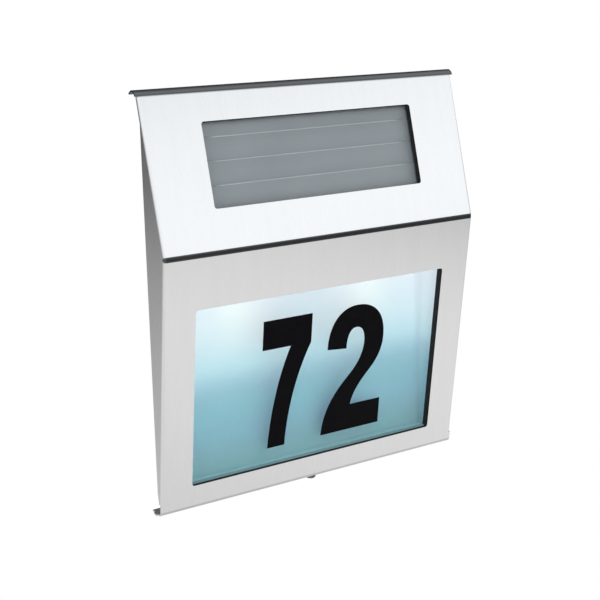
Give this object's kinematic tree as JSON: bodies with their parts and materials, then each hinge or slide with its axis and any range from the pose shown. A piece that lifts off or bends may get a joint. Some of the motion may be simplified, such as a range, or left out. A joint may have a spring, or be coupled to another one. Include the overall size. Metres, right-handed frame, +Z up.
{
  "type": "house number light",
  "caption": "Wall-hung folded metal house number light: a slanted solar window above a lit number window, its cover hooked over a wall plate and held by a screw from below.",
  "frame": {"origin": "middle of the four wall holes, in the plane of the wall", "axes": "+X to the right as seen from the front, -Y out of the wall towards the viewer, +Z up"},
  "size_m": [0.18, 0.0319, 0.2064],
  "materials": {
    "cover_steel": "vertically brushed stainless steel",
    "plate_steel": "plain stainless steel",
    "fastener_steel": "bright stainless steel",
    "panel_acrylic": "translucent acrylic lit from behind",
    "foam": "black foam",
    "glazing": "clear cover",
    "silicon": "dark grey solar cell",
    "backing": "white backing board",
    "white_moulding": "white moulding",
    "black_moulding": "fine textured black moulding",
    "cell_sleeve": "shrink sleeve",
    "contact_metal": "nickel plated",
    "board_green": "solder mask",
    "board_white": "white solder mask",
    "black_part": "moulded epoxy",
    "coil_ferrite": "ferrite and lacquered wire",
    "can_aluminium": "aluminium can",
    "switch_metal": "tinned shell",
    "knob_plastic": "light plastic",
    "lens": "clear epoxy lens",
    "red_wire": "soft insulation",
    "yellow_wire": "soft insulation"
  },
  "bodies": {
    "wall_bracket": {"wall_plate": "plate_steel", "press_nut": "fastener_steel"},
    "cover": {"front_cover": "cover_steel", "cover_studs": "fastener_steel", "stud_nuts": "fastener_steel", "number_gasket": "foam", "number_panel": "panel_acrylic", "solar_gasket": "foam", "solar_glass": "glazing", "solar_cells": "silicon", "solar_backing": "backing", "light_box": "white_moulding", "light_board": "board_white", "light_left": "lens", "light_right": "lens", "battery_housing": "black_moulding", "battery_cell": "cell_sleeve", "contact_spring": "contact_metal", "contact_plate": "contact_metal", "circuit_board": "board_green", "board_screws": "fastener_steel", "circuit_chip": "black_part", "circuit_coil": "coil_ferrite", "circuit_capacitor": "can_aluminium", "switch_body": "switch_metal", "solar_wires": "red_wire", "light_wires": "yellow_wire"},
    "screw": {"securing_screw": "fastener_steel"},
    "door": {"battery_door": "black_moulding"},
    "knob": {"switch_knob": "knob_plastic"}
  },
  "joints": [
    {"name": "cover_swing", "type": "hinge", "parent": "wall_bracket", "child": "cover", "pos_m": [0, -0.00883, 0.09589], "axis": [-1, 0, 0], "range_deg": [0, 60]},
    {"name": "screw_out", "type": "slide", "parent": "wall_bracket", "child": "screw", "axis": [0, 0, -1], "range_m": [0, 0.003]},
    {"name": "door_slide", "type": "slide", "parent": "cover", "child": "door", "axis": [0, 0, 1], "range_m": [0, 0.019]},
    {"name": "switch_slide", "type": "slide", "parent": "cover", "child": "knob", "axis": [1, 0, 0], "range_m": [0, 0.003]}
  ]
}
